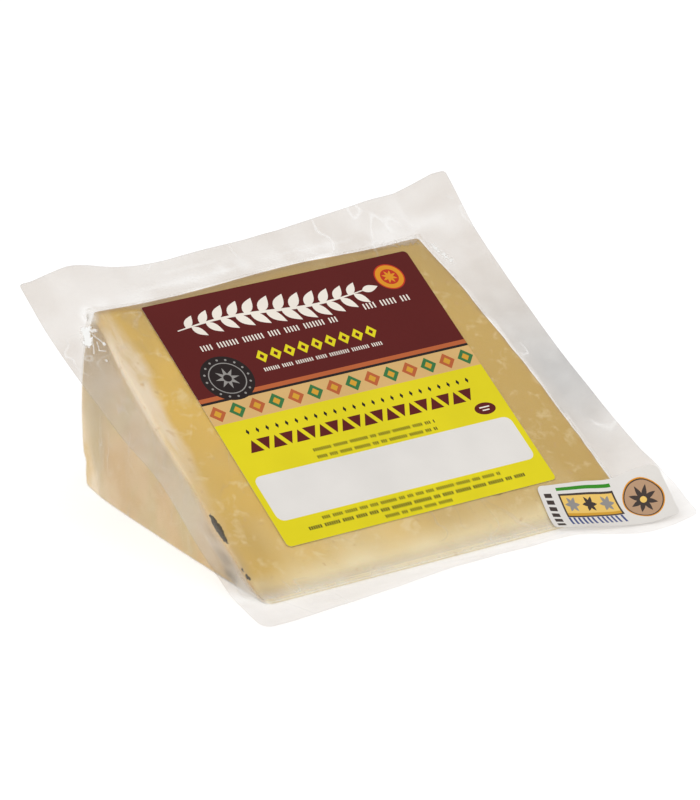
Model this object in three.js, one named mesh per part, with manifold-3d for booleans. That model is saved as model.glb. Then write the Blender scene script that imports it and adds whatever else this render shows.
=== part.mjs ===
// A wedge of hard cheese, one twelfth of a wheel, sealed in a clear film pack. Millimetres, +Z up.
//
// The wedge lies on one cut face. The other cut face slopes up and back under the pack's flat top film.
// That film runs on past the cheese on all four sides as a sealed margin, which is trimmed to a straight outline.
// Behind the film, the wheel's flat sides face left and right, and its round rim faces back.

import * as THREE from 'three';
import { mergeVertices } from 'three/addons/utils/BufferGeometryUtils.js';
import Module from 'manifold-3d';

const wasm = await Module();
wasm.setup();

// Cheese. The wheel's axis is the wedge's tip edge: it lies on the floor along X, at Y = 0.
const WHEEL_RADIUS = 101;
const WEDGE_ANGLE = THREE.MathUtils.degToRad(31.1);
const LEFT_SIDE_X = -2;          // flat side of the wheel at its axis, seen at the left
const RIGHT_SIDE_X = 112.4;
const LEFT_DOME = 3;             // how far each side falls in from axis to rim
const RIGHT_DOME = 8.6;
const DOME_POWER = 2.2;
const RIM_ROUNDING = 6;          // where a flat side turns into the rim
const FOOT_ROUNDING = 8;         // where the rim meets the lower cut face
const TIP_CORNER = 3;            // worn corners at the two ends of the tip edge

// Film over the cheese
const FILM = 0.8;                // two sealed layers, as one solid sheet
const FILM_SINK = 0.4;           // how far the cheese reaches up into the sheet
const TIP_HEIGHT = 1;            // top of the sheet where it lies on the floor
const TIP_BEND = 1.2;            // softness of the fold at the tip
const SHOULDER_DROP = 1.4;       // the sheet falls off the cheese's edges to the margin
const SHOULDER_WIDTH = 6;
const SHOULDER_START = 12;       // the shoulder grows in over this length from the tip

// Corners of the trimmed sheet in plan, and their roundings
const SLOPE_COS = Math.cos(WEDGE_ANGLE);
const SHEET_CORNERS = {
  frontLeft: { x: -9.9, y: -13.2, round: 5 },
  frontRight: { x: 124, y: -15.2, round: 3.5 },
  backRight: { x: 121.2, y: 117.6 * SLOPE_COS, round: 2.5 },
  backLeft: { x: -15.4, y: 115.2 * SLOPE_COS, round: 1 },
};
const MARGIN = { left: 11, right: 13, back: 13.5, front: 13 };
const LIFT_POWER = 1.15;          // near 1: a margin bends mostly at the cheese's edge

// How far each edge of the sheet stands above the plane of the cut face, as [place along the edge, lift]
const LIFT = {
  left: [[-14, 0.2], [0, 3.6], [16, 3.9], [32, 5], [50, 0.9], [66, -1], [84, -2.2], [99, -1.4]],
  right: [[-15, 0], [0, 7.9], [14, 4.8], [30, 2.2], [55, -0.6], [86, 0.2], [101, 3]],
  back: [[-16, 0.9], [1, 0.9], [16, -2.6], [36, -3.2], [58, -2.5], [90, 0.4], [121, 1.2]],
  front: [[-10, 0.3], [16, 0.5], [46, 2], [66, 2.9], [84, 3.2], [94, 2], [104, 0.2], [114, 0], [124, 1.3]],
};

// Front label, flat on the sloping film: its own X runs across the wedge, its own Y up the slope
const LABEL = { width: 84, length: 83.4, left: 13.1, up: 15, thickness: 0.35, round: 2 };
const STICK_GAP = 0.3;           // clear space under a label, so that two solids don't touch

// Small sticker across the front right corner, following the sheet
const STICKER = { length: 34.5, width: 14.2, x: 105, y: 1.1, turn: THREE.MathUtils.degToRad(-14), round: 1.5 };
const STICKER_THICKNESS = 0.3;
const STICKER_GAP = 0.5;         // over the sheet's bends

// Centre of the resting face, which is the part's origin
const REST_CENTRE = new THREE.Vector2(55, 46);

const WHEEL_STEPS = 180;
const ROUNDING_STEPS = 5;
const DOME_STOPS = [0, 0.2, 0.4, 0.6, 0.76, 0.87];
const CUT_CLEARANCE = 10;        // cutting solids reach this far past what they cut
const MERGE_DISTANCE = 1e-4;     // corners closer than this are one corner

// A smooth function through a few [place, value] pairs, level at both ends
function curveThrough(pairs) {
  const slope = (i) => (i === 0 || i === pairs.length - 1)
    ? 0
    : (pairs[i + 1][1] - pairs[i - 1][1]) / (pairs[i + 1][0] - pairs[i - 1][0]);
  return (place) => {
    const s = THREE.MathUtils.clamp(place, pairs[0][0], pairs.at(-1)[0]);
    let i = pairs.findIndex(([end]) => end > s) - 1;
    if (i < 0) i = pairs.length - 2;
    const [[s0, v0], [s1, v1]] = [pairs[i], pairs[i + 1]];
    const h = s1 - s0;
    const t = (s - s0) / h;
    const t2 = t * t;
    const t3 = t2 * t;
    return (2 * t3 - 3 * t2 + 1) * v0 + (t3 - 2 * t2 + t) * h * slope(i)
      + (3 * t2 - 2 * t3) * v1 + (t3 - t2) * h * slope(i + 1);
  };
}

const liftLeft = curveThrough(LIFT.left);
const liftRight = curveThrough(LIFT.right);
const liftBack = curveThrough(LIFT.back);
const liftFront = curveThrough(LIFT.front);

const unit = (value) => THREE.MathUtils.clamp(value, 0, 1);
const domeFall = (radius) => unit(radius / WHEEL_RADIUS) ** DOME_POWER;
const leftSideAt = (radius) => LEFT_SIDE_X + LEFT_DOME * domeFall(radius);
const rightSideAt = (radius) => RIGHT_SIDE_X - RIGHT_DOME * domeFall(radius);

// Height of the sheet's top over the floor at a place in plan
function sheetTop(x, y) {
  const rimY = WHEEL_RADIUS * SLOPE_COS;
  const radius = THREE.MathUtils.clamp(y, 0, rimY) / SLOPE_COS;
  const slope = y * Math.tan(WEDGE_ANGLE);
  const plane = TIP_HEIGHT + TIP_BEND * Math.log1p(Math.exp((slope - TIP_HEIGHT) / TIP_BEND));
  const pastLeft = leftSideAt(radius) - x;
  const pastRight = x - rightSideAt(radius);
  const pastBack = y - rimY;
  const share = (past, margin) => unit(past / margin) ** LIFT_POWER;
  const onLeft = share(pastLeft, MARGIN.left);
  const onRight = share(pastRight, MARGIN.right);
  const onBack = share(pastBack, MARGIN.back);
  const onFront = share(-y, MARGIN.front);
  const lift = liftLeft(y) * onLeft + liftRight(y) * onRight + liftBack(x) * onBack + liftFront(x) * onFront;
  const past = Math.max(pastLeft, pastRight, pastBack);
  const shoulder = SHOULDER_DROP * unit(1 + past / SHOULDER_WIDTH) ** 2;
  const held = 1 - Math.max(onLeft, onRight, onBack);
  return plane + lift - shoulder * held * unit(y / SHOULDER_START);
}

// A closed block between top(x, y) and bottom(x, y) over a grid of lines
function gridBlock(xs, ys, top, bottom) {
  const positions = [];
  for (const height of [top, bottom]) {
    for (const y of ys) {
      for (const x of xs) positions.push(x, y, height(x, y));
    }
  }
  const layer = xs.length * ys.length;
  const at = (i, j, under) => j * xs.length + i + (under ? layer : 0);
  const index = [];
  const quad = (a, b, c, d) => index.push(a, b, c, a, c, d);
  for (let j = 0; j < ys.length - 1; j++) {
    for (let i = 0; i < xs.length - 1; i++) {
      quad(at(i, j), at(i + 1, j), at(i + 1, j + 1), at(i, j + 1));
      quad(at(i, j, true), at(i, j + 1, true), at(i + 1, j + 1, true), at(i + 1, j, true));
    }
  }
  const lastI = xs.length - 1;
  const lastJ = ys.length - 1;
  for (let i = 0; i < lastI; i++) {
    quad(at(i, 0, true), at(i + 1, 0, true), at(i + 1, 0), at(i, 0));
    quad(at(i, lastJ), at(i + 1, lastJ), at(i + 1, lastJ, true), at(i, lastJ, true));
  }
  for (let j = 0; j < lastJ; j++) {
    quad(at(0, j), at(0, j + 1), at(0, j + 1, true), at(0, j, true));
    quad(at(lastI, j, true), at(lastI, j + 1, true), at(lastI, j + 1), at(lastI, j));
  }
  const geometry = new THREE.BufferGeometry();
  geometry.setAttribute('position', new THREE.Float32BufferAttribute(positions, 3));
  geometry.setIndex(index);
  return geometry;
}

// Evenly spaced lines between each pair of stops
function lines(stops) {
  const out = [stops[0][0]];
  for (let k = 0; k < stops.length - 1; k++) {
    const [from, steps] = stops[k];
    const to = stops[k + 1][0];
    for (let i = 1; i <= steps; i++) out.push(from + (to - from) * i / steps);
  }
  return out;
}

// A flat outline with rounded corners, given anticlockwise
function roundedOutline(corners) {
  const shape = new THREE.Shape();
  corners.forEach((corner, i) => {
    const here = new THREE.Vector2(corner.x, corner.y);
    const before = corners.at(i - 1);
    const after = corners[(i + 1) % corners.length];
    const towards = (other) => here.clone().add(
      new THREE.Vector2(other.x, other.y).sub(here).setLength(corner.round));
    const from = towards(before);
    const to = towards(after);
    if (i === 0) shape.moveTo(from.x, from.y);
    else shape.lineTo(from.x, from.y);
    shape.quadraticCurveTo(here.x, here.y, to.x, to.y);
  });
  shape.closePath();
  return shape;
}

function prism(shape, depth, curveSegments = 6) {
  return new THREE.ExtrudeGeometry(shape, { depth, bevelEnabled: false, curveSegments });
}

function solidOf(geometry) {
  const bare = geometry.clone();
  bare.deleteAttribute('normal');
  bare.deleteAttribute('uv');
  const merged = mergeVertices(bare, MERGE_DISTANCE);
  return new wasm.Manifold(new wasm.Mesh({
    numProp: 3,
    vertProperties: Float32Array.from(merged.attributes.position.array),
    triVerts: Uint32Array.from(merged.index.array),
  }));
}

function geometryOf(solid) {
  const { vertProperties, triVerts } = solid.getMesh();
  const geometry = new THREE.BufferGeometry();
  geometry.setAttribute('position', new THREE.Float32BufferAttribute(vertProperties, 3));
  geometry.setIndex(Array.from(triVerts));
  geometry.computeVertexNormals();
  return geometry;
}

// The whole wheel, turned about X: domed flat sides and a rim with rounded corners
function wheel() {
  const shoulderRadius = WHEEL_RADIUS - RIM_ROUNDING;
  const profile = [];
  const addSide = (sideAt, inward, fromAxis) => {
    const half = DOME_STOPS.map((stop) => new THREE.Vector2(stop * WHEEL_RADIUS, sideAt(stop * WHEEL_RADIUS)));
    const shoulderX = sideAt(shoulderRadius);
    for (let k = 0; k <= ROUNDING_STEPS; k++) {
      const turn = (k / ROUNDING_STEPS) * Math.PI / 2;
      half.push(new THREE.Vector2(
        shoulderRadius + RIM_ROUNDING * Math.sin(turn),
        shoulderX + inward * RIM_ROUNDING * (1 - Math.cos(turn)),
      ));
    }
    profile.push(...(fromAxis ? half : half.reverse()));
  };
  addSide(leftSideAt, 1, true);
  addSide(rightSideAt, -1, false);
  const geometry = new THREE.LatheGeometry(profile, WHEEL_STEPS);
  geometry.rotateZ(-Math.PI / 2);
  return solidOf(geometry);
}

// The cut: lower face on the floor, a rounded foot at the back, open above, where the film's underside cuts
function wedgeCut() {
  const reach = WHEEL_RADIUS + CUT_CLEARANCE;
  const shape = new THREE.Shape();
  shape.moveTo(0, 0);
  shape.lineTo(WHEEL_RADIUS - FOOT_ROUNDING, 0);
  shape.quadraticCurveTo(WHEEL_RADIUS, 0, WHEEL_RADIUS, FOOT_ROUNDING);
  shape.lineTo(reach, reach);
  shape.lineTo(0, reach);
  shape.closePath();
  const geometry = prism(shape, RIGHT_SIDE_X - LEFT_SIDE_X + 2 * CUT_CLEARANCE);
  const toWedge = new THREE.Matrix4().makeBasis(
    new THREE.Vector3(0, 1, 0), new THREE.Vector3(0, 0, 1), new THREE.Vector3(1, 0, 0));
  geometry.applyMatrix4(toWedge);
  geometry.translate(LEFT_SIDE_X - CUT_CLEARANCE, 0, 0);
  return solidOf(geometry);
}

// Grid lines of the sheet: close together in the margins and at the fold, wide apart over the cheese
const SHEET_XS = lines([[-18, 5], [-3, 3], [6, 7], [96, 4], [106, 7], [127, 0]]);
const SHEET_YS = lines([[-18, 5], [-3, 6], [4, 8], [80, 3], [88, 6], [104, 0]]);

function cheese() {
  const under = gridBlock(SHEET_XS, SHEET_YS, (x, y) => sheetTop(x, y) - FILM_SINK, () => -CUT_CLEARANCE);
  const tipCorners = roundedOutline([
    { x: LEFT_SIDE_X, y: 0, round: TIP_CORNER },
    { x: RIGHT_SIDE_X, y: 0, round: TIP_CORNER },
    { x: RIGHT_SIDE_X, y: WHEEL_RADIUS + CUT_CLEARANCE, round: TIP_CORNER },
    { x: LEFT_SIDE_X, y: WHEEL_RADIUS + CUT_CLEARANCE, round: TIP_CORNER },
  ]);
  return wheel()
    .intersect(wedgeCut())
    .intersect(solidOf(under))
    .intersect(solidOf(prism(tipCorners, WHEEL_RADIUS)));
}

function film() {
  const sheet = gridBlock(SHEET_XS, SHEET_YS, sheetTop, (x, y) => sheetTop(x, y) - FILM);
  const { frontLeft, frontRight, backRight, backLeft } = SHEET_CORNERS;
  const trim = prism(roundedOutline([frontLeft, frontRight, backRight, backLeft]), WHEEL_RADIUS);
  return solidOf(sheet).intersect(solidOf(trim));
}

function sticker() {
  const lift = (thickness) => (x, y) => sheetTop(x, y) + STICKER_GAP + thickness;
  const half = STICKER.length / 2 + STICKER.round;
  const xs = lines([[STICKER.x - half, 13], [STICKER.x + half, 0]]);
  const ys = lines([[STICKER.y - half, 16], [STICKER.y + half, 0]]);
  const block = gridBlock(xs, ys, lift(STICKER_THICKNESS), lift(0));
  const outline = roundedOutline([[-1, -1], [1, -1], [1, 1], [-1, 1]].map(([across, along]) => {
    const corner = new THREE.Vector2(across * STICKER.length / 2, along * STICKER.width / 2)
      .rotateAround(new THREE.Vector2(), STICKER.turn);
    return { x: STICKER.x + corner.x, y: STICKER.y + corner.y, round: STICKER.round };
  }));
  return solidOf(block).intersect(solidOf(prism(outline, WHEEL_RADIUS)));
}

function labelGeometry() {
  const corners = [
    { x: 0, y: 0, round: LABEL.round },
    { x: LABEL.width, y: 0, round: LABEL.round },
    { x: LABEL.width, y: LABEL.length, round: LABEL.round },
    { x: 0, y: LABEL.length, round: LABEL.round / 4 },
  ];
  return prism(roundedOutline(corners), LABEL.thickness, 4);
}

function mesh(name, geometry, color, roughness) {
  const made = new THREE.Mesh(geometry, new THREE.MeshStandardMaterial({ color, roughness, metalness: 0 }));
  made.name = name;
  return made;
}

const wedge = new THREE.Group();
wedge.position.set(-REST_CENTRE.x, -REST_CENTRE.y, 0);
wedge.add(mesh('pack', geometryOf(cheese().add(film())), 0xd3b478, 0.35));
wedge.add(mesh('corner_sticker', geometryOf(sticker()), 0xdfe0e3, 0.4));

const slope = new THREE.Group();
slope.rotation.x = WEDGE_ANGLE;
const label = mesh('front_label', labelGeometry(), 0x5c2624, 0.45);
label.position.set(LABEL.left, LABEL.up, STICK_GAP);
slope.add(label);
wedge.add(slope);

const root = new THREE.Group();
root.add(wedge);

export default root;
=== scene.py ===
"""A wedge of hard cheese in a clear film pack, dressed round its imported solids.

Shapes are worked out in millimetres in the wedge's own frame: X to the right along the tip edge, Y back and
Z up. to_metres() brings them into the part's frame, whose origin is the middle of the resting face.
"""

import itertools
import math
import random

import bpy
import numpy as np
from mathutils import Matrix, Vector
from mathutils.geometry import delaunay_2d_cdt


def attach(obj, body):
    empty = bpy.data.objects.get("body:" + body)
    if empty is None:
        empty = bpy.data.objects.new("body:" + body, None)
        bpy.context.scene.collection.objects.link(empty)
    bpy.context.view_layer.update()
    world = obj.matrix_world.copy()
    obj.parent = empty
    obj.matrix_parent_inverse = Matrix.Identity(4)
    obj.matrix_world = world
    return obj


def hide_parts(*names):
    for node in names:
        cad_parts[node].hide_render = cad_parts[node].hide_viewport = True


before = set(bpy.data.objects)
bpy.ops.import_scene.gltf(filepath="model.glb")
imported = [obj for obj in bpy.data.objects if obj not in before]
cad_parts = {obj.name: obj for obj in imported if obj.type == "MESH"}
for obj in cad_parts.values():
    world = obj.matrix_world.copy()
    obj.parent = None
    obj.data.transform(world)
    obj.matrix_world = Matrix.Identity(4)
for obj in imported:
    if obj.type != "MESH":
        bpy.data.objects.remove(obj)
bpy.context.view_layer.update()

# The wedge, as in the part's source
WHEEL_RADIUS = 101.0
WEDGE_ANGLE = math.radians(31.1)
SLOPE_COS = math.cos(WEDGE_ANGLE)
SLOPE_TAN = math.tan(WEDGE_ANGLE)
LEFT_SIDE_X = -2.0
RIGHT_SIDE_X = 112.4
LEFT_DOME = 1.4             # flatter than in the part's source
RIGHT_DOME = 8.6
DOME_POWER = 2.2
RIM_ROUNDING = {"left": 2.5, "left_low": 8.0, "right": 2.5}
RIM_ROUNDING_GROWS = 0.9    # over this share of the height below the top
FOOT_ROUNDING = 10.0
TIP_CORNER = 3.0
REST_CENTRE = np.array([55.0, 46.0, 0.0])

# The film sheet, as in the part's source but for its softer shoulder and its lower front
TIP_HEIGHT = 1.0
TIP_BEND = 1.2
SHOULDER_DROP = 0.3
SHOULDER_WIDTH = 6.0
SHOULDER_START = 12.0
SHEET_CORNERS = {
    "front_left": ((-10.6, -13.4), 3.0),
    "front_right": ((124.0, -15.2), 3.5),
    "back_right": ((121.2, 117.6 * SLOPE_COS), 0.9),
    "back_left": ((-15.4, 115.2 * SLOPE_COS), 1.0),
}
SHEET_WIDTH = SHEET_CORNERS["front_right"][0][0] - SHEET_CORNERS["front_left"][0][0]
SHEET_DEPTH = SHEET_CORNERS["back_left"][0][1] - SHEET_CORNERS["front_left"][0][1]
MARGIN = {"left": 11.0, "right": 13.0, "back": 13.5, "front": 13.0}
LIFT_POWER = 1.15
LIFT = {
    "left": [(-14, 0.2), (0, 3.6), (16, 3.9), (32, 5), (50, 0.9), (66, -1), (84, -2.2), (99, -1.4)],
    "right": [(-15, 0), (0, 7.9), (14, 4.8), (30, 2.2), (55, -0.6), (86, 0.2), (101, 3)],
    "back": [(-16, 0.9), (1, 0.9), (16, -2.6), (36, -3.2), (58, -2.5), (90, 0.4), (121, 1.2)],
    "front": [(-10, 0.3), (2, 0.9), (16, 1.8), (46, 3.8), (66, 4.4), (84, 4), (94, 2), (104, 0.1), (114, 0),
              (124, 1.3)],
}

# The front label and the corner sticker, as in the part's source
LABEL_LEFT = 13.1
LABEL_UP = 15.0
LABEL_WIDTH = 84.0
LABEL_LENGTH = 83.4
LABEL_ROUND = 1.3
LABEL_BACK_LEFT_ROUND = 0.5
STICKER_LENGTH = 34.5
STICKER_WIDTH = 14.2
STICKER_CENTRE = (105.0, 1.1)
STICKER_TURN = math.radians(-14)
STICKER_ROUND = 1.5
STICKER_FRONT = [(0, 0.2), (8, 2.0), (16, 3.2), (26, 3.2), (34.5, 1.9)]
STICKER_BACK = [(0, 0.1), (8, 0.95), (15, 1.8), (22, 1.8), (26, 2.3), (30, 2.2), (33, 1.2), (34.5, 0)]

# Thin layers
SHEET_THICKNESS = 0.05
CHEESE_GAP = 0.07           # the cheese lies this far under the sheet's top
CHEESE_BASE = 0.14          # and this far over the floor, on the pouch's film
CHEESE_OUTSET = 0.25
POUCH_OUTER = 0.14
POUCH_INNER = 0.04
POUCH_TUCK = 0.025          # the pouch's upper edge ends inside the sheet
PAPER_THICKNESS = 0.06
PAPER_GAP = 0.015

# Where the scene's forms depart a little from the plain solids
FRONT_SINK = 0.55           # the sheet's front margin lies this much lower
FRONT_SINK_START = 6.0
LEFT_FOOT = [(0, -0.6), (30, -0.3), (60, -0.3), (80, -0.5), (92, -1.6), (101, -3.1)]
LEFT_FOOT_REACH = 20.0      # how far in from the side the foot's shape is felt
EDGE_WANDER = (0.35, 9.0)   # how far the right edge wanders, and over what length
RIM_BULGE = [(-2, 0), (14, -0.4), (26, -0.3), (39, 0.4), (52, 1.2), (65, 1.7), (78, 1.4), (91, 1.2),
             (103, 1.5), (112, 1.0)]
RIM_BULGE_START = 80.0      # the bulge grows from this radius

# Rounding of the cheese's cut edges
CUT_EDGE = 0.8
FOOT_EDGE = 0.35
THIN_SHARE = 0.45           # no rounding is wider than this share of the thickness
NOISE_PRIMES = np.array([73856093, 19349663, 83492791])
NOISE_TABLE = 4096


def to_metres(points):
    return (np.asarray(points, float) - REST_CENTRE) / 1000


def unit(value):
    return np.clip(value, 0, 1)


def ease(value):
    """0 to 1, level at both ends."""
    t = unit(value)
    return t * t * (3 - 2 * t)


def hump(value, middle, reach):
    """1 at the middle, and fading to 0 over about that reach on both sides."""
    return np.exp(-((value - middle) / reach) ** 2)


def curve_through(pairs):
    """A smooth function through a few (place, value) pairs, level at both ends."""
    places, values = np.array(pairs, float).T
    slopes = np.zeros(len(places))
    slopes[1:-1] = (values[2:] - values[:-2]) / (places[2:] - places[:-2])

    def curve(place):
        s = np.clip(place, places[0], places[-1])
        i = np.clip(np.searchsorted(places, s, side="right") - 1, 0, len(places) - 2)
        h = places[i + 1] - places[i]
        t = (s - places[i]) / h
        return (
            (2 * t**3 - 3 * t**2 + 1) * values[i]
            + (t**3 - 2 * t**2 + t) * h * slopes[i]
            + (3 * t**2 - 2 * t**3) * values[i + 1]
            + (t**3 - t**2) * h * slopes[i + 1]
        )

    return curve


LIFTS = {side: curve_through(pairs) for side, pairs in LIFT.items()}
RIM_Y = WHEEL_RADIUS * SLOPE_COS
rim_bulge = curve_through(RIM_BULGE)


def smooth_noise(points, size, seed):
    """Smooth noise from -1 to 1 at points in mm, with lumps of about that size. size may differ by axis."""
    table = np.random.default_rng(seed).uniform(-1, 1, NOISE_TABLE)
    q = np.asarray(points, float) / size
    cell = np.floor(q).astype(np.int64)
    t = q - cell
    t = t * t * (3 - 2 * t)
    total = np.zeros(len(q))
    for corner in itertools.product((0, 1), repeat=3):
        key = (cell + np.array(corner)) @ NOISE_PRIMES % NOISE_TABLE
        weight = np.prod(np.where(np.array(corner) == 1, t, 1 - t), axis=1)
        total += weight * table[key]
    return total


def left_side(radius):
    return LEFT_SIDE_X + LEFT_DOME * unit(radius / WHEEL_RADIUS) ** DOME_POWER


def right_side(radius):
    reach, length = EDGE_WANDER
    along = np.stack([radius, 0 * radius, 0 * radius], axis=1)
    wander = reach * (smooth_noise(along, length, 51) + 0.5 * smooth_noise(along, length / 3, 52))
    return RIGHT_SIDE_X - RIGHT_DOME * unit(radius / WHEEL_RADIUS) ** DOME_POWER + wander * unit(radius / 10)


def past_edges(x, y):
    """How far a place in plan lies outside the cheese at its left, right, back and front."""
    radius = np.clip(y, 0, RIM_Y) / SLOPE_COS
    return {
        "left": left_side(radius) - x,
        "right": x - right_side(radius),
        "back": y - RIM_Y - rim_bulge(x),
        "front": -y,
    }


def sheet_top(x, y):
    """Height of the sheet's top over the floor at a place in plan."""
    slope = y * SLOPE_TAN
    plane = TIP_HEIGHT + TIP_BEND * np.log1p(np.exp((slope - TIP_HEIGHT) / TIP_BEND))
    past = past_edges(x, y)
    share = {side: unit(past[side] / MARGIN[side]) ** LIFT_POWER for side in past}
    lift = (LIFTS["left"](y) * share["left"] + LIFTS["right"](y) * share["right"]
            + LIFTS["back"](x) * share["back"] + LIFTS["front"](x) * share["front"])
    out = np.maximum.reduce([past["left"], past["right"], past["back"]])
    shoulder = SHOULDER_DROP * unit(1 + out / SHOULDER_WIDTH) ** 2
    held = 1 - np.maximum.reduce([share["left"], share["right"], share["back"]])
    sunk = FRONT_SINK * ease(1 - y / FRONT_SINK_START)
    return plane + lift - shoulder * held * unit(y / SHOULDER_START) - sunk


# Meshes

def place_object(name, data):
    """A new object in the scene."""
    made = bpy.data.objects.new(name, data)
    bpy.context.scene.collection.objects.link(made)
    return made


def look_along(thing, direction):
    thing.rotation_mode = "QUATERNION"
    thing.rotation_quaternion = direction.to_track_quat("-Z", "Y")


def make_piece(name, points, faces, materials, slots=None, attributes=None, smooth=True):
    """A mesh object from points in mm, with a material slot for each face and values for each point."""
    mesh = bpy.data.meshes.new(name)
    mesh.from_pydata(to_metres(points).tolist(), [], [list(map(int, face)) for face in faces])
    for material in materials:
        mesh.materials.append(material)
    if slots is not None:
        mesh.polygons.foreach_set("material_index", np.asarray(slots, np.int32))
    mesh.polygons.foreach_set("use_smooth", np.full(len(mesh.polygons), smooth))
    for key, values in (attributes or {}).items():
        layer = mesh.attributes.new(key, "FLOAT", "POINT")
        layer.data.foreach_set("value", np.asarray(values, np.float32))
    mesh.validate()
    mesh.update()
    return place_object(name, mesh)


def graded(length, fine, coarse, zone):
    """Shares from 0 to 1 along a length: fine steps within the zone at both ends, coarse ones between."""
    near = np.arange(0, zone, fine)
    steps = max(2, round((length - 2 * zone) / coarse))
    middle = np.linspace(zone, length - zone, steps + 1)
    return np.concatenate([near, middle, length - near[::-1]]) / length


def grid_quads(grid, flip=False):
    """Quads over a grid of point numbers. They face along first axis times second, or back if flipped."""
    a, b, c, d = grid[:-1, :-1], grid[1:, :-1], grid[1:, 1:], grid[:-1, 1:]
    order = [a, d, c, b] if flip else [a, b, c, d]
    return np.stack([part.ravel() for part in order], axis=1)


def rounded_edge(a, b, radius):
    """Takes points of a square edge on to a round one. a and b are how far they lie inside its two faces."""
    pa, pb = radius - a, radius - b
    inside = (pa > 0) & (pb > 0)
    scale = np.maximum(pa, pb) / np.maximum(np.hypot(pa, pb), 1e-9)
    return np.where(inside, radius - pa * scale, a), np.where(inside, radius - pb * scale, b)


def block_faces(us, vs, ws, sides):
    """The named sides of a lattice block: lattice places of their points, and quads that face outwards."""
    counts = (len(us), len(vs), len(ws))
    numbers = np.arange(np.prod(counts)).reshape(counts)
    grids = {
        "top": grid_quads(numbers[:, :, -1]),
        "bottom": grid_quads(numbers[:, :, 0], flip=True),
        "rim": grid_quads(numbers[:, -1, :], flip=True),
        "tip": grid_quads(numbers[:, 0, :]),
        "left": grid_quads(numbers[0], flip=True),
        "right": grid_quads(numbers[-1]),
    }
    quads = np.concatenate([grids[side] for side in sides])
    used, quads = np.unique(quads, return_inverse=True)
    i, j, k = np.unravel_index(used, counts)
    return us[i], vs[j], ws[k], quads.reshape(-1, 4)


def wedge_points(u, v, w, outset, top_gap):
    """Points of the wedge's skin. u runs across, v out from the tip edge and w up from the lower cut face."""
    reach = WHEEL_RADIUS + outset
    radius = v * reach
    width = right_side(radius) - left_side(radius) + 2 * outset
    at_left, outer, low = u < 0.5, v > 0.5, w < 0.5
    side = np.where(at_left, u, 1 - u) * width
    end = np.where(outer, reach - radius, radius)
    lower = ease((1 - w) / RIM_ROUNDING_GROWS)
    left_round = RIM_ROUNDING["left"] + (RIM_ROUNDING["left_low"] - RIM_ROUNDING["left"]) * lower
    rim_round = np.where(at_left, left_round, RIM_ROUNDING["right"])
    side, end = rounded_edge(side, end, np.where(outer, rim_round, TIP_CORNER))
    radius = np.where(outer, reach - end, end)
    thick = np.maximum(radius * WEDGE_ANGLE, TIP_HEIGHT)
    foot_out = curve_through(LEFT_FOOT)(radius) * (1 - w) ** 2 * at_left
    level = np.where(low, w, 1 - w) * thick
    foot, level_out = rounded_edge(end, level, np.where(low, FOOT_ROUNDING, CUT_EDGE))
    end, level = np.where(outer, foot, end), np.where(outer, level_out, level)
    cut_round = np.minimum(np.where(low, FOOT_EDGE, CUT_EDGE), THIN_SHARE * thick)
    side, level = rounded_edge(side, level, cut_round)
    radius = np.where(outer, reach - end, end)
    angle = np.where(low, level / thick, 1 - level / thick) * WEDGE_ANGLE
    x = np.where(at_left, left_side(radius) - outset + side, right_side(radius) + outset - side)
    x = x - foot_out * unit(1 - side / LEFT_FOOT_REACH)
    radius = radius + rim_bulge(x) * unit((radius - RIM_BULGE_START) / (WHEEL_RADIUS - RIM_BULGE_START)) * w
    y = radius * np.cos(angle)
    rise = np.tan(angle) / SLOPE_TAN
    base = np.where(outset == CHEESE_OUTSET, CHEESE_BASE, np.maximum(POUCH_OUTER - outset, 0))
    top = sheet_top(x, y) - top_gap
    z = base + radius * np.sin(angle) + rise * (top - base - y * SLOPE_TAN)
    y = y - outset * unit(1 - radius / TIP_CORNER)
    return np.stack([x, y, z], axis=1)


def point_normals(points, quads):
    across = points[quads[:, 2]] - points[quads[:, 0]]
    along = points[quads[:, 3]] - points[quads[:, 1]]
    normals = np.zeros_like(points)
    for corner in range(4):
        np.add.at(normals, quads[:, corner], np.cross(across, along))
    return normals / np.maximum(np.linalg.norm(normals, axis=1, keepdims=True), 1e-12)


def border_loop(quads):
    """Directed edges of quads that no other quad shares."""
    edges = np.concatenate([quads[:, [k, (k + 1) % 4]] for k in range(4)])
    known = {(int(a), int(b)) for a, b in edges}
    return [(a, b) for a, b in known if (b, a) not in known]


def shell(outer, inner, quads):
    """Points and faces of a closed skin between two surfaces with the same quads."""
    count = len(outer)
    walls = [(b, a, a + count, b + count) for a, b in border_loop(quads)]
    faces = np.concatenate([quads, quads[:, ::-1] + count, np.array(walls)])
    return np.concatenate([outer, inner]), faces


# Shader helpers

def srgb(red, green, blue):
    """A colour for a shader from display values of 0 to 255."""
    def linear(value):
        c = value / 255
        return c / 12.92 if c <= 0.04045 else ((c + 0.055) / 1.055) ** 2.4
    return (linear(red), linear(green), linear(blue), 1.0)


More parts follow.
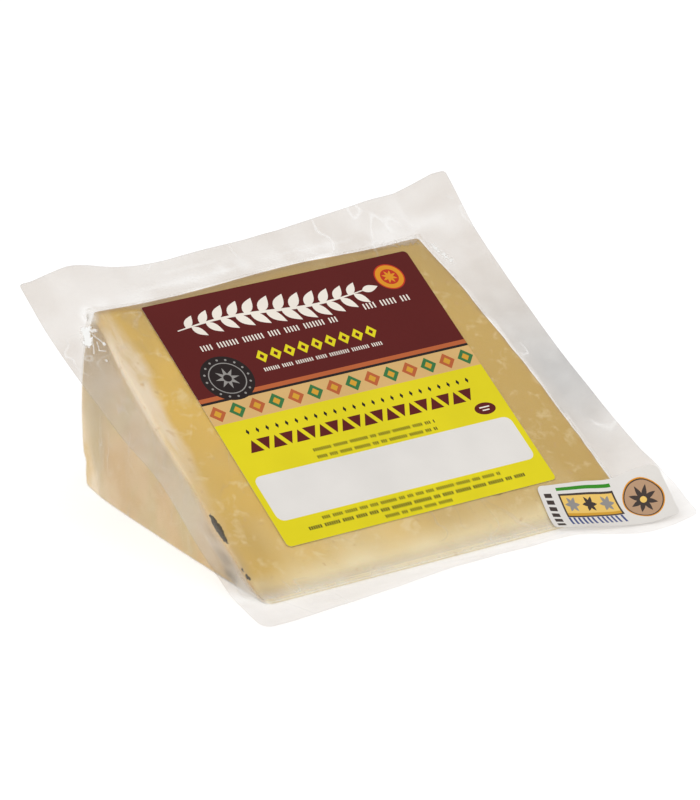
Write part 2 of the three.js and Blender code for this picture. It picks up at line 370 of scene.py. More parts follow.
class Shader:
    """Short ways to add nodes to one material."""

    def __init__(self, name):
        self.material = bpy.data.materials.new(name)
        self.material.use_nodes = True
        self.tree = self.material.node_tree
        self.tree.nodes.clear()
        self.output = self.add("ShaderNodeOutputMaterial")
        self.surface = self.add("ShaderNodeBsdfPrincipled")
        self.tree.links.new(self.surface.outputs[0], self.output.inputs["Surface"])
        self.place = self.add("ShaderNodeTexCoord").outputs["Object"]

    def add(self, kind, **settings):
        node = self.tree.nodes.new(kind)
        for key, value in settings.items():
            setattr(node, key, value)
        return node

    def feed(self, socket, value):
        if isinstance(value, bpy.types.NodeSocket):
            self.tree.links.new(value, socket)
        else:
            socket.default_value = value

    def fill(self, node, **values):
        """Feeds a node's sockets, named with _ in place of spaces."""
        for key, value in values.items():
            self.feed(node.inputs[key.replace("_", " ")], value)
        return node

    def set(self, **values):
        self.fill(self.surface, **values)

    def math(self, operation, a, b=0.0, clamp=False):
        node = self.add("ShaderNodeMath", operation=operation, use_clamp=clamp)
        self.feed(node.inputs[0], a)
        self.feed(node.inputs[1], b)
        return node.outputs[0]

    def times(self, a, b):
        return self.math("MULTIPLY", a, b)

    def plus(self, a, b):
        return self.math("ADD", a, b)

    def vector(self, operation, a, b=(0, 0, 0), output=0):
        node = self.add("ShaderNodeVectorMath", operation=operation)
        self.feed(node.inputs[0], a)
        if operation == "SCALE":
            self.feed(node.inputs["Scale"], b)
        else:
            self.feed(node.inputs[1], b)
        return node.outputs[output]

    def attribute(self, name):
        return self.add("ShaderNodeAttribute", attribute_name=name).outputs["Fac"]

    def stretched(self, scale, turn=(0, 0, 0)):
        """Coordinates drawn out along axes, after a turn in degrees."""
        angles = [math.radians(angle) for angle in turn]
        node = self.fill(self.add("ShaderNodeMapping"), Vector=self.place, Rotation=angles, Scale=scale)
        return node.outputs[0]

    def noise(self, scale, detail=3.0, roughness=0.5, distortion=0.0, place=None):
        node = self.add("ShaderNodeTexNoise")
        self.fill(node, Vector=place or self.place, Scale=scale)
        self.fill(node, Detail=detail, Roughness=roughness, Distortion=distortion)
        return node.outputs["Fac"]

    def range(self, value, low, high, out_low=0.0, out_high=1.0, smooth=True):
        node = self.add("ShaderNodeMapRange", interpolation_type="SMOOTHSTEP" if smooth else "LINEAR")
        self.fill(node, Value=value, From_Min=low, From_Max=high, To_Min=out_low, To_Max=out_high)
        return node.outputs["Result"]

    def mix(self, factor, a, b):
        node = self.add("ShaderNodeMix", data_type="RGBA")
        self.feed(node.inputs["Factor"], factor)
        self.feed(node.inputs[6], a)
        self.feed(node.inputs[7], b)
        return node.outputs[2]

    def bump(self, height, strength, distance):
        node = self.fill(self.add("ShaderNodeBump"), Strength=strength, Distance=distance, Height=height)
        return node.outputs[0]


# Colours, as display values

PASTE_GOLD = srgb(222, 182, 88)
PASTE_OLIVE = srgb(200, 166, 92)
PASTE_PALE = srgb(240, 224, 180)
# painted highlight: the band along the upper left edge
CREAM_HIGHLIGHT = srgb(237, 219, 190)
# painted shade along the back
BACK_SHADE = srgb(170, 144, 98)
RIND_TAN = srgb(212, 184, 142)
RIND_GOLD = srgb(222, 186, 124)
RIND_DEEP = srgb(200, 164, 112)
RIND_PALE = srgb(220, 204, 172)
RIND_OLIVE = srgb(196, 180, 130)
# painted shade in the back left corner, and greyer places at the tip's left end
DULL_SHADE = srgb(176, 156, 120)
MOULD_GREY = srgb(26, 22, 18)
FILM_TAN = srgb(180, 158, 132)
FILM_SHADE = srgb(118, 114, 110)
FILM_WHITE = srgb(244, 242, 238)
FILM_GLINT = srgb(254, 254, 252)
FILM_GREY_PATCH = srgb(132, 132, 134)


def mark_mask(shader, start, end, radius, soft, taper=0.0):
    """1 inside a stroke between two points of the wedge in mm, 0 outside. It may narrow towards its ends."""
    a, b = Vector(to_metres(start)), Vector(to_metres(end))
    along = b - a
    from_start = shader.vector("SUBTRACT", shader.place, tuple(a))
    share = shader.vector("DOT_PRODUCT", from_start, tuple(along / along.length_squared), output=1)
    share = shader.math("MAXIMUM", shader.math("MINIMUM", share, 1.0), 0.0)
    nearest = shader.vector("SCALE", tuple(along), share)
    distance = shader.vector("LENGTH", shader.vector("SUBTRACT", from_start, nearest), output=1)
    if taper:
        off_middle = shader.math("ABSOLUTE", shader.math("SUBTRACT", share, 0.45))
        distance = shader.plus(distance, shader.times(off_middle, taper / 1000))
    ragged = shader.range(shader.noise(1100, detail=2), 0.3, 0.7, -soft / 1000, soft / 1000)
    distance = shader.plus(distance, ragged)
    return shader.range(distance, (radius - soft) / 1000, (radius + soft) / 1000, 1.0, 0.0)


def cheese_material():
    s = Shader("cheese")
    # the cut faces
    broad = s.noise(28, detail=4, roughness=0.55)
    curd = s.noise(240, detail=5, roughness=0.6, distortion=0.4)
    grain = s.noise(1500, detail=3)
    gold = s.mix(s.range(broad, 0.35, 0.65), PASTE_GOLD, PASTE_OLIVE)
    # greener and darker to the right: partly the paste's own tone, partly painted shade
    gold = s.mix(s.attribute("olive_and_shade"), gold, PASTE_OLIVE)
    patches = s.times(s.range(curd, 0.52, 0.7), 0.35)
    paste = s.mix(patches, gold, PASTE_PALE)
    # paler along the tip: painted light through the thin tip, and paler soft patches
    paste = s.mix(s.attribute("pale_and_glow"), paste, PASTE_PALE)
    # painted highlight: a cream band with streaks along the upper left edge
    vein = s.noise(150, detail=4, roughness=0.6, distortion=0.5, place=s.stretched((1, 0.22, 0.22)))
    cream = s.times(s.attribute("cream"), s.range(vein, 0.36, 0.6, 0.35, 1.0))
    paste = s.mix(cream, paste, CREAM_HIGHLIGHT)
    # painted shade along the back edge and in the back right corner
    paste = s.mix(s.attribute("back_shade"), paste, BACK_SHADE)
    flecks = s.range(s.noise(420, detail=2), 0.66, 0.74)
    paste = s.mix(s.times(flecks, 0.4), paste, RIND_DEEP)
    # the sides and the rim
    rind = s.mix(s.attribute("golden"), RIND_TAN, RIND_GOLD)
    blotches = s.range(s.noise(60, detail=5, distortion=0.6), 0.38, 0.72)
    rind = s.mix(s.times(blotches, 0.8), rind, RIND_DEEP)
    moss = s.range(s.noise(45, detail=3, distortion=1.0, place=s.stretched((1, 1, 0.6))), 0.5, 0.66)
    rind = s.mix(s.times(moss, 0.55), rind, RIND_OLIVE)
    rind = s.mix(s.times(s.range(curd, 0.5, 0.72), 0.4), rind, RIND_PALE)
    # both, with painted shade in the back left corner, greyer places at the tip's left end, and the dark
    # marks
    colour = s.mix(s.attribute("rind"), paste, rind)
    colour = s.mix(s.attribute("dull_and_shade"), colour, DULL_SHADE)
    for start, end, radius, taper in DARK_MARKS:
        mask = mark_mask(s, start, end, radius, 0.16, taper)
        colour = s.mix(s.times(mask, 0.95), colour, MOULD_GREY)
    relief = s.plus(s.times(curd, 0.7), s.times(grain, 0.3))
    s.set(
        Base_Color=colour,
        Roughness=s.range(curd, 0.3, 0.7, 0.38, 0.58),
        Normal=s.bump(relief, 0.35, 0.0006),
        Specular_IOR_Level=0.4,
        Subsurface_Weight=0.12,
        Subsurface_Radius=(1.0, 0.55, 0.25),
        Subsurface_Scale=0.003,
        Coat_Weight=0.25,
        Coat_Roughness=0.25,
    )
    return s.material


def film_lines(shader, place, scale):
    """0 to 1: broken fine lines where drawn film has small folds. The films whiten along them as painted
    highlights.
    """
    wave = shader.noise(scale, detail=2, roughness=0.45, distortion=1.2, place=place)
    off = shader.math("ABSOLUTE", shader.math("SUBTRACT", wave, 0.5))
    line = shader.range(off, 0.0, 0.011, 1.0, 0.0)
    kept = shader.range(shader.noise(55, detail=2), 0.47, 0.6)
    return shader.times(line, kept)


def film_sheet_material():
    s = Shader("clear_sheet")
    streak = s.noise(26, detail=4, roughness=0.5, distortion=0.8, place=s.stretched((0.5, 1.8, 1), (0, 0, 8)))
    cloud = s.noise(30, detail=3)
    veil = s.times(s.attribute("veil"), s.range(cloud, 0.3, 0.7, 0.9, 1.1))
    band = s.times(s.range(streak, 0.38, 0.72), s.attribute("margin"))
    veil = s.plus(veil, s.times(band, 0.05))
    lines = film_lines(s, s.stretched((1, 0.45, 1), (0, 0, 20)), 42)
    veil = s.plus(veil, s.times(lines, 0.07))
    edge = s.fill(s.add("ShaderNodeLayerWeight"), Blend=0.25)
    veil = s.plus(veil, s.times(edge.outputs["Facing"], 0.02))
    colour = s.mix(s.attribute("shade"), FILM_TAN, FILM_SHADE)
    colour = s.mix(s.attribute("white"), colour, FILM_WHITE)
    # whiter along the fine fold lines: painted highlights
    colour = s.mix(s.times(lines, 0.7), colour, FILM_WHITE)
    colour = s.mix(s.attribute("grey_patch"), colour, FILM_GREY_PATCH)
    for start, end, radius, soft, strength in GLINTS:
        ends = [(x, y, float(sheet_surface(np.array([x]), np.array([y]))[0])) for x, y in (start, end)]
        mask = s.times(mark_mask(s, *ends, radius, soft), strength)
        veil = s.math("MAXIMUM", veil, mask)
        colour = s.mix(mask, colour, FILM_GLINT)
    ripple = s.noise(70, detail=3, distortion=0.6, place=s.stretched((1, 1.8, 1), (0, 0, -30)))
    s.set(
        Base_Color=colour,
        Alpha=s.math("MINIMUM", veil, 1.0),
        Roughness=s.range(cloud, 0.3, 0.7, 0.14, 0.28),
        Normal=s.bump(ripple, 0.2, 0.001),
        Specular_IOR_Level=0.2,
    )
    return s.material


def film_pouch_material():
    s = Shader("clear_pouch")
    drawn = s.noise(90, detail=5, roughness=0.6, distortion=1.6, place=s.stretched((1, 1, 0.35), (0, 28, 0)))
    cling = s.range(drawn, 0.55, 0.68)
    alpha = s.plus(s.times(cling, 0.06), 0.04)
    alpha = s.plus(alpha, s.times(s.attribute("fold"), 0.15))
    lines = film_lines(s, s.stretched((1, 1, 0.4), (0, 24, 0)), 36)
    alpha = s.plus(alpha, s.times(lines, 0.1))
    edge = s.fill(s.add("ShaderNodeLayerWeight"), Blend=0.2)
    alpha = s.math("ADD", alpha, s.times(edge.outputs["Facing"], 0.04), clamp=True)
    ripple = s.noise(180, detail=3, distortion=0.8)
    # The base colour whitens along the fine fold lines, as painted highlights, and a little where the film
    # clings.
    s.set(
        Base_Color=s.mix(s.math("MAXIMUM", lines, s.times(cling, 0.4)), RIND_PALE, FILM_WHITE),
        Alpha=alpha,
        Roughness=s.range(drawn, 0.3, 0.7, 0.26, 0.42),
        Normal=s.bump(ripple, 0.25, 0.0008),
        Specular_IOR_Level=0.2,
    )
    return s.material


def paper_material(name, colour):
    s = Shader("print_" + name)
    fibre = s.noise(900, detail=4)
    wash = s.noise(45, detail=3)
    shade = s.range(wash, 0.3, 0.7, 0.94, 1.04, smooth=False)
    tint = s.vector("SCALE", colour[:3], shade)
    s.set(
        Base_Color=tint,
        Roughness=s.range(fibre, 0.3, 0.7, 0.36, 0.5),
        Normal=s.bump(fibre, 0.12, 0.0002),
        Specular_IOR_Level=0.1,
    )
    return s.material


# The cheese

def on_left_edge(radius, in_from_edge, down):
    """A place near the cheese's upper left edge, for a stain."""
    x = float(left_side(radius)) + in_from_edge
    return (x, radius * SLOPE_COS, radius * math.sin(WEDGE_ANGLE) - down)


DARK_MARKS = [
    # start and end, radius and taper
    (on_left_edge(30.6, 0.1, 0.25), on_left_edge(21.4, 0.2, 0.4), 1.1, 1.3),
    (on_left_edge(13.6, -0.05, 0.3), on_left_edge(11.7, 0.1, 0.3), 0.46, 0.3),
    (on_left_edge(10.6, 0.2, 0.35), on_left_edge(8.9, 0.35, 0.35), 0.44, 0.3),
    ((-2.4, 25.4, 2.4), (-2.5, 24.0, 1.9), 0.6, 0.2),
]
LEFT_BAND_DEPTH = ([0, 36, 46, 60, 82, 92], [-1, -1, 1.2, 2.2, 2.0, 0.6])
HIGHLIGHT_BAND_WIDTH = ([0, 40, 50, 62, 72, 80, 92], [2.2, 2.5, 3.3, 3.6, 4.2, 5.0, 4.4])
BACK_SHADE_ACROSS = ([11, 21, 70, 88, 100], [0, 1, 0.9, 0.6, 0.4])
SIDE_SOFTNESS = 0.8         # the sides' colour runs this far over the edges
RIM_SOFTNESS = 1.2
CUT_RELIEF = 0.14
BROAD_RELIEF = 0.12
SIDE_RELIEF = 0.1
PIT_COUNT = 46
PIT_SIZES = (0.4, 1.1)
PIT_DEPTH = 0.45


def cheese_relief(points, u, v, w):
    """How far each point is sunk: soft unevenness, and pits in the cut faces. It fades out at the tip."""
    on_cut = ((w == 0) | (w == 1)) & (u > 0) & (u < 1) & (v < 1)
    sunk = np.where(on_cut, CUT_RELIEF * (0.5 + 0.5 * smooth_noise(points, 7, 1)), 0)
    sunk = sunk + BROAD_RELIEF * (0.5 + 0.5 * smooth_noise(points, 16, 2))
    sunk = sunk + np.where(on_cut, 0, SIDE_RELIEF * (0.5 + 0.5 * smooth_noise(points, 3.2, 5)))
    draw = random.Random(11)
    for _ in range(PIT_COUNT):
        face = 1 if draw.random() < 0.6 else 0
        centre_x = draw.uniform(4, 106)
        centre_r = draw.uniform(3, 96)
        size = draw.uniform(*PIT_SIZES)
        far = np.hypot(points[:, 0] - centre_x, v * WHEEL_RADIUS - centre_r) / size
        sunk = sunk + np.where((w == face) & on_cut, PIT_DEPTH * size * np.exp(-far**2), 0)
    return sunk * unit(v * WHEEL_RADIUS / 8)


def cheese_looks(points, radius, w):
    """Values for the cheese's material: how much of each colour, at points with their radius and share up."""
    x = points[:, 0]
    from_left = x - left_side(radius)
    down = (1 - w) * radius * WEDGE_ANGLE
    band_depth = np.interp(radius, *LEFT_BAND_DEPTH)
    left = unit(1 - from_left / SIDE_SOFTNESS) * ease((down - band_depth + 0.6) / 1.2)
    side = np.maximum(left, unit(1 - (right_side(radius) - x) / SIDE_SOFTNESS))
    rim = unit(1 - (WHEEL_RADIUS - radius) / RIM_SOFTNESS)
    # paler along the tip, less so at its ends, which is painted light through the thin tip; and paler in soft
    # patches on the lower half
    pale_and_glow = 0.9 * ease(1 - radius / 13) + 0.3 * ease(1 - radius / 30) - 0.35 * hump(x, 3, 7)
    pale_and_glow = unit(pale_and_glow - 0.25 * ease((x - 99) / 8))
    pale_and_glow = pale_and_glow + 0.3 * unit(smooth_noise(points, 10, 61)) * ease(1 - radius / 60)
    # greener towards the right, and at the left foot; the darker right is partly painted shade, on the side
    # away from the key light
    olive_and_shade = np.maximum(0.9 * ease((x - 40) / 60), 0.9 * hump(x, 5, 7) * hump(radius, 19, 12))
    # a painted highlight: a cream band with a streaky inner edge along the upper left edge
    streak = smooth_noise(points, np.array([2.5, 14, 14]), 62)
    inner_edge = np.interp(radius, *HIGHLIGHT_BAND_WIDTH) + 0.8 * streak + 0.5 * smooth_noise(points, 4, 63)
    cream = ease(1.6 - from_left / inner_edge) * (0.2 + 0.8 * ease((radius - 30) / 30))
    cream = cream * ease((radius - 8) / 22) * (1 + 0.3 * hump(radius, 80, 9))
    cream = cream * (1 - 0.4 * ease((radius - 88) / 10))
    # painted shade: darker under the rind at the back, and in the back right corner
    back_shade = ease((radius - 92) / 9) * np.interp(x, *BACK_SHADE_ACROSS)
    back_shade = np.maximum(back_shade, 0.4 * ease((radius - 70) / 28) * ease((x - 90) / 14))
    # painted shade in the back left corner, more of it lower down; and darker, greyer places at the tip's
    # left end
    dull_and_shade = 0.9 * left * ease((radius - 76) / 14) * (0.7 + 0.3 * unit(down / 20))
    dull_and_shade = np.maximum(dull_and_shade, 0.5 * hump(x, -1.8, 1.8) * hump(radius, 13, 8))
    dull_and_shade = np.maximum(dull_and_shade, 0.45 * hump(x, 0.5, 4) * hump(radius, 4, 4.5))
    return {
        "rind": ease(np.maximum(side, rim)),
        "pale_and_glow": unit(pale_and_glow),
        "olive_and_shade": olive_and_shade,
        "cream": unit(0.93 * cream),
        "golden": ease(1 - radius / 70),
        "back_shade": back_shade,
        "dull_and_shade": unit(dull_and_shade),
    }


def build_cheese():
    us = graded(RIGHT_SIDE_X - LEFT_SIDE_X, 0.6, 1.15, 6)
    vs = graded(WHEEL_RADIUS, 0.6, 1.15, 6)
    ws = graded(WHEEL_RADIUS * WEDGE_ANGLE, 0.5, 1.3, 3)
    u, v, w, quads = block_faces(us, vs, ws, ["top", "bottom", "rim", "tip", "left", "right"])
    points = wedge_points(u, v, w, np.full(len(u), CHEESE_OUTSET), CHEESE_GAP)
    points = points - point_normals(points, quads) * cheese_relief(points, u, v, w)[:, None]
    looks = cheese_looks(points, v * WHEEL_RADIUS, w)
    return make_piece("cheese_wedge", points, quads, [cheese_material()], attributes=looks)


# The pouch: the formed film that hugs the sides, the rim and the bottom

FLARE = 0.5
FLARE_LENGTH = 1.2
WEB = {"reach": 0.9, "spread": 7.0, "drop": 9.0}


def build_pouch():
    us = graded(RIGHT_SIDE_X - LEFT_SIDE_X, 0.7, 1.5, 6)
    vs = graded(WHEEL_RADIUS, 0.7, 1.4, 7)
    ws = graded(WHEEL_RADIUS * WEDGE_ANGLE, 0.5, 1.2, 5)
    u, v, w, quads = block_faces(us, vs, ws, ["bottom", "rim", "left", "right"])
    rough = wedge_points(u, v, w, np.zeros(len(u)), POUCH_TUCK)
    radius = v * WHEEL_RADIUS
    under_top = (1 - w) * np.maximum(radius * WEDGE_ANGLE, TIP_HEIGHT)
    flare = FLARE * np.exp(-under_top / FLARE_LENGTH) * unit(radius / 10)
    width = RIGHT_SIDE_X - LEFT_SIDE_X
    from_corner = np.minimum(u, 1 - u) * width + (1 - v) * WHEEL_RADIUS
    at_left = np.where(u < 0.5, 1.0, 0.6)
    web = WEB["reach"] * at_left * hump(from_corner, 0, WEB["spread"]) * np.exp(-under_top / WEB["drop"])
    fan = np.sin(np.arctan2(under_top + 2, from_corner + 0.5) * 16)
    web = web * (1 + 0.25 * fan)
    gather = smooth_noise(rough, np.array([5.0, 5.0, 16.0]), 21)
    fine = smooth_noise(rough, np.array([2.2, 2.2, 9.0]), 22)
    near_top = np.exp(-under_top / 9)
    wrinkle = (0.14 * unit(gather) + 0.08 * unit(fine)) * near_top * unit(radius / 15)
    lift = flare + web + wrinkle * (w > 0)
    outer = wedge_points(u, v, w, CHEESE_OUTSET + POUCH_OUTER + lift, POUCH_TUCK)
    inner = wedge_points(u, v, w, CHEESE_OUTSET + POUCH_INNER + lift, POUCH_TUCK)
    points, faces = shell(outer, inner, quads)
    fold = unit(web / 3) * (0.5 + 0.5 * fan) + 0.06 * unit(gather) * near_top
    return make_piece("film_pouch", points, faces, [film_pouch_material()],
                      attributes={"fold": np.tile(unit(fold), 2)})


# The sheet: the flat film over the upper cut face, with its sealed margins

SHEET_STEP = 1.0
SEAL_LINE_END = 30.0
SEAL_LINE = ([-16, -7.7, -3.7, 1.1, 13.4, 25.9, 30.0], [68, 77.0, 81.0, 85.0, 84.5, 85.7, 86.3])
LEFT_MARGIN = (
    [-14, 0, 4, 16, 24, 36, 48, 60, 72, 76, 80, 92],
    [0.6, 0.8, 1.2, 1.7, 1.8, 1.1, 1.7, 2.7, 2.0, 1.1, -0.2, -0.6],
)
RIGHT_VEIL = ([-4, 15, 27, 45, 100], [0.03, 0.06, 0.24, 0.3, 0.24])
FRONT_VEIL = ([-10, 10, 40, 120], [0.16, 0.135, 0.11, 0.1])
GREY_PATCHES = [(-4.3, 20.8, 1.7), (-5.8, 13.4, 2.0), (-7.4, 8.8, 2.0)]
CREASES = [
    # start and end in plan, height, half width
    ((104.5, 88.0), (113.5, 97.0), 0.35, 1.2),
    ((105.5, 86.0), (116.0, 90.5), 0.25, 1.1),
    ((-1.5, 85.0), (-8.0, 92.0), 0.3, 1.1),
    ((-4.5, 81.0), (-11.0, 84.0), 0.25, 1.0),
    ((20.0, 91.0), (88.0, 93.0), 0.3, 1.6),
]
GLINTS = [
    # start and end in plan, half width, softness, strength
    ((-4.8, 82.4), (-6.2, 79.0), 1.25, 0.4, 0.95),
    ((-3.9, 82.4), (-3.2, 81.6), 0.8, 0.5, 0.8),
    ((-3.9, 80.7), (-2.4, 77.4), 0.22, 0.08, 0.6),
    ((-4.3, 79.9), (-6.2, 75.8), 0.2, 0.07, 0.55),
    ((-3.8, 78.4), (-4.5, 76.0), 0.18, 0.06, 0.6),
    ((-4.5, 76.0), (-3.0, 75.2), 0.18, 0.06, 0.6),
    ((-2.4, 77.3), (-2.4, 77.0), 0.35, 0.12, 0.8),
    ((-4.3, 73.0), (-4.3, 72.6), 0.3, 0.1, 0.6),
    ((105.9, 84.6), (108.5, 78.9), 0.75, 0.5, 0.9),
    ((88.0, 88.2), (101.5, 86.8), 1.0, 0.9, 0.3),
    ((112.6, 19.6), (112.9, 9.8), 0.16, 0.06, 0.7),
    ((16.3, 89.8), (45.8, 90.1), 0.5, 0.5, 0.3),
    ((26.9, 94.8), (42.2, 94.3), 0.6, 0.6, 0.22),
    ((60.0, 91.5), (84.0, 91.0), 0.4, 0.4, 0.2),
]


def segment_distance(x, y, start, end):
    """Distance in plan to a segment, and the share along it."""
    ax, ay = start
    bx, by = end[0] - ax, end[1] - ay
    share = unit(((x - ax) * bx + (y - ay) * by) / (bx * bx + by * by))
    return np.hypot(x - ax - share * bx, y - ay - share * by), share


def sheet_plan(s, t):
    """Places in plan over the trimmed sheet, for shares across and back, with its corners rounded."""
    corner = {name: np.array(place) for name, (place, _) in SHEET_CORNERS.items()}
    rounds = {name: radius for name, (_, radius) in SHEET_CORNERS.items()}
    at_left, at_front = s < 0.5, t < 0.5
    radius = np.where(at_front, np.where(at_left, rounds["front_left"], rounds["front_right"]),
                      np.where(at_left, rounds["back_left"], rounds["back_right"]))
    from_side = np.where(at_left, s, 1 - s) * SHEET_WIDTH
    from_end = np.where(at_front, t, 1 - t) * SHEET_DEPTH
    a, b = rounded_edge(from_side, from_end, radius)
    s = np.where(at_left, a / SHEET_WIDTH, 1 - a / SHEET_WIDTH)[:, None]
    t = np.where(at_front, b / SHEET_DEPTH, 1 - b / SHEET_DEPTH)[:, None]
    front = corner["front_left"] * (1 - s) + corner["front_right"] * s
    back = corner["back_left"] * (1 - s) + corner["back_right"] * s
    plan = front * (1 - t) + back * t
    return plan[:, 0], plan[:, 1]


def sheet_looks(x, y, past):
    """Values for the sheet's material at places in plan: veil, white, shade, grey_patch and margin."""
    flat = np.stack([x, y, np.zeros_like(x)], axis=1)
    wander = smooth_noise(flat, 8, 31)
    small = smooth_noise(flat, 3.5, 32)
    # shares of the loose margins, past the line where the two films are sealed
    by_left = ease((past["left"] - np.interp(y, *LEFT_MARGIN) + 0.9 + 0.3 * small) / 1.8)
    over_side = np.maximum(past["right"], past["front"] - 0.7)
    past_seal = np.where(x < SEAL_LINE_END, y - np.interp(x, *SEAL_LINE), past["back"])
    back = ease((past_seal + np.interp(x, [70, 92], [1.0, 1.6]) + 0.5 * wander + 0.25 * small) / 1.3)
    margin = np.maximum.reduce([ease((over_side + 1.2 + 0.5 * small) / 1.9), by_left, back])
    right = ease((past["right"] + 1.2 + 0.5 * small) / 2.0)
    # how much the film veils: little over the face, more in the margins, clearer along the front
    over_face = 0.02 + 0.02 * ease(1 + past["left"] / 7) * unit(y / 20)
    veil = over_face * (1 - margin) + margin * (0.19 + 0.02 * wander)
    veil = np.maximum(veil, back * (0.22 + 0.02 * wander))
    veil = np.maximum(veil, right * np.interp(y, *RIGHT_VEIL))
    clear_front = ease(1 - (y + 1) / 6)
    thin = np.interp(x, *FRONT_VEIL)
    veil = veil * (1 - clear_front * margin) + (thin + 0.02 * small) * clear_front * margin
    # milky over the tip, where the film comes off the cheese
    over_tip = ease(1 - y / 5.5) * ease((y + 2.2) / 1.4) * unit(1 - 0.25 * abs(small))
    veil = np.maximum(veil, 0.33 * over_tip * ease(1 - past["left"]) * ease(1 - past["right"]))
    # how white the veil is, from tan; painted highlights add to it along the seal at the back and in streaks
    # on the back margin
    seal_highlight = back * hump(past_seal, 3, 2.5)
    white = 0.06 + 0.1 * small + 0.3 * seal_highlight * unit(0.3 + small) + 0.2 * clear_front + 0.8 * over_tip
    over_left = ease(past["left"] + 1) * ease((y + 1) / 4)
    band_white = 0.33 + 0.25 * hump(y, 26, 12)
    white = white + band_white * over_left * ease((80 - y) / 14) * ease((x + 3.4 + 0.86 * y) / 2)
    white = white + 0.2 * back * ease((60 - x) / 20) * ease((y - 87) / 3) * ease((x - 8) / 14)
    # the shaded right margin, and greyer patches on the left one
    shade = right * hump(y, 40, 20) * (0.6 + 0.4 * ease(past["right"] / 5))
    grey_patch = np.zeros_like(x)
    for cx, cy, reach in GREY_PATCHES:
        grey_patch = np.maximum(grey_patch, hump(x, cx, reach) * hump(y, cy, 1.5 * reach))
    # the folded film at the tip's left, and the crumple at the back left corner, whitened as a painted
    # highlight
    over_tip_left = by_left * over_left * ease((28 - y) / 12) * ease((x + 8.6) / 1.5)
    near_tip = ease((12 - y) / 8)
    veil = np.maximum(veil, (0.33 + 0.11 * near_tip) * over_tip_left)
    white = np.maximum(white, (0.55 + 0.2 * near_tip) * over_tip_left)
    crumple_highlight = hump(x, -1.7, 2.0) * hump(y, 85.4, 2.2)
    veil = np.maximum(veil, 0.5 * crumple_highlight)
    white = np.maximum(white, 0.85 * ease(2 * crumple_highlight))
    grey_patch = grey_patch * margin * unit(0.8 + 0.6 * small)
    veil = np.maximum(veil, 0.32 * grey_patch)
    veil = veil + 0.06 * margin * ease(-(x + 5) / 6) * ease((y - 84) / 8)
    return {
        "veil": unit(veil),
        "white": unit(white),
        "shade": unit(0.85 * shade),
        "grey_patch": unit(grey_patch),
        "margin": margin,
    }


def sheet_surface(x, y):
    """Height of the sheet's top with the waves and creases of its loose margins."""
    outside = np.maximum.reduce(list(past_edges(x, y).values()))
    loose = ease(outside / 8)
    flat = np.stack([x, y, np.zeros_like(x)], axis=1)
    wave = 0.3 * smooth_noise(flat, 14, 41) + 0.07 * smooth_noise(flat, 5, 42)
    z = sheet_top(x, y) + wave * loose
    for start, end, height, half_width in CREASES:
        distance, share = segment_distance(x, y, start, end)
        z = z + height * np.exp(-(distance / half_width) ** 2) * (1 - share) ** 0.5 * ease(outside / 2)
    return np.maximum(z, SHEET_THICKNESS + 0.05)


def build_sheet():
    across = graded(SHEET_WIDTH, 0.5, SHEET_STEP, 4)
    back = graded(SHEET_DEPTH, 0.5, SHEET_STEP, 4)
    s, t = [axis.ravel() for axis in np.meshgrid(across, back, indexing="ij")]
    x, y = sheet_plan(s, t)
    top = np.stack([x, y, sheet_surface(x, y)], axis=1)
    bottom = top - np.array([0, 0, SHEET_THICKNESS])
    numbers = np.arange(len(x)).reshape(len(across), len(back))
    points, faces = shell(top, bottom, grid_quads(numbers))
    looks = {key: np.tile(values, 2) for key, values in sheet_looks(x, y, past_edges(x, y)).items()}
    return make_piece("film_sheet", points, faces, [film_sheet_material()], attributes=looks)


# Print: flat shapes in mm on the paper, later ones over earlier ones

INKS = {
    "maroon": srgb(94, 30, 28),
    "yellow": srgb(226, 211, 30),
    "white": srgb(228, 224, 219),
    "cream": srgb(240, 232, 220),
    "black": srgb(40, 32, 31),
    "grey": srgb(150, 146, 142),
    "beige": srgb(217, 177, 115),
    "terracotta": srgb(186, 98, 56),
    "green": srgb(60, 118, 68),
    "ochre": srgb(214, 160, 52),
    "orange": srgb(226, 150, 40),
    "red": srgb(196, 58, 36),
    "sand": srgb(240, 200, 108),
    "brown": srgb(185, 150, 120),
    "leaf_green": srgb(58, 142, 40),
    "blue": srgb(58, 74, 132),
    "dark": srgb(70, 60, 56),
}
CIRCLE_STEPS = 28


def box_shape(x0, y0, x1, y1, radius=0.0, steps=4):
    if radius <= 0:
        return [(x0, y0), (x1, y0), (x1, y1), (x0, y1)]
    out = []
    for cx, cy, start in [(x1 - radius, y0 + radius, -90), (x1 - radius, y1 - radius, 0),
                          (x0 + radius, y1 - radius, 90), (x0 + radius, y0 + radius, 180)]:
        for k in range(steps + 1):
            angle = math.radians(start + 90 * k / steps)
            out.append((cx + radius * math.cos(angle), cy + radius * math.sin(angle)))
    return out


def oval_shape(cx, cy, rx, ry=None, steps=CIRCLE_STEPS):
    ry = rx if ry is None else ry
    return [(cx + rx * math.cos(2 * math.pi * k / steps), cy + ry * math.sin(2 * math.pi * k / steps))
            for k in range(steps)]


def star_shape(cx, cy, outer, inner, tips, turn=90.0):
    out = []
    for k in range(2 * tips):
        angle = math.radians(turn + 180 * k / tips)
        radius = outer if k % 2 == 0 else inner
        out.append((cx + radius * math.cos(angle), cy + radius * math.sin(angle)))
    return out


def diamond_shape(cx, cy, half_width, half_height):
    return [(cx - half_width, cy), (cx, cy - half_height), (cx + half_width, cy), (cx, cy + half_height)]


def leaf_shape(x, y, angle, length, width, steps=7):
    """A pointed leaf from (x, y), which runs off at an angle in degrees."""
    turn = math.radians(angle)
    side = []
    for k in range(steps + 1):
        t = k / steps
        side.append((t * length, width / 2 * math.sin(math.pi * t**0.8)))
    outline = side + [(a, -b) for a, b in side[-2:0:-1]]
    return [(x + a * math.cos(turn) - b * math.sin(turn), y + a * math.sin(turn) + b * math.cos(turn))
            for a, b in outline]


